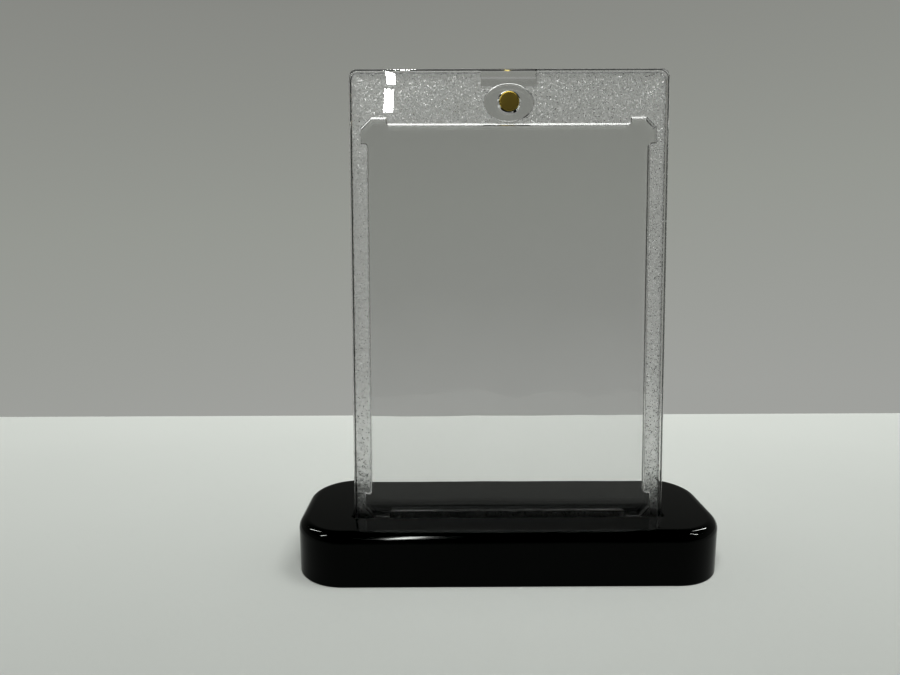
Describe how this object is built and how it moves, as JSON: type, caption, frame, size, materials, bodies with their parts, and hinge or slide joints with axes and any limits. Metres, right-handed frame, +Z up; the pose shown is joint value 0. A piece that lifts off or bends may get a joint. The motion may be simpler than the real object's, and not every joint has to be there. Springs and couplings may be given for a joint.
{
  "type": "trading card display case",
  "caption": "Clear two-part magnetic case for one trading card, leaning back in the slot of a glossy black moulded stand.",
  "frame": {"origin": "on the table, under the middle of the stand", "axes": "+X to the right seen from the front, +Y to the back, +Z up"},
  "size_m": [0.098, 0.034, 0.1139],
  "materials": {
    "black_gloss_abs": "polished",
    "clear_polystyrene": "polished",
    "gold_plating": "polished"
  },
  "bodies": {
    "stand": {"stand_base": "black_gloss_abs"},
    "case_back": {"back_half": "clear_polystyrene", "back_magnet": "gold_plating"},
    "case_cover": {"front_cover": "clear_polystyrene", "front_magnet": "gold_plating"}
  },
  "joints": [
    {"name": "case_lift", "type": "slide", "parent": "stand", "child": "case_back", "axis": [0, 0.0872, 0.9962], "range_m": [0, 0.12]},
    {"name": "cover_open", "type": "hinge", "parent": "case_back", "child": "case_cover", "pos_m": [0, -0.00565, 0.00503], "axis": [1, 0, 0], "range_deg": [0, 90]}
  ],
  "couplings": [
    {"joint": "cover_open", "follows": "case_lift", "rad_per_m": 13}
  ]
}
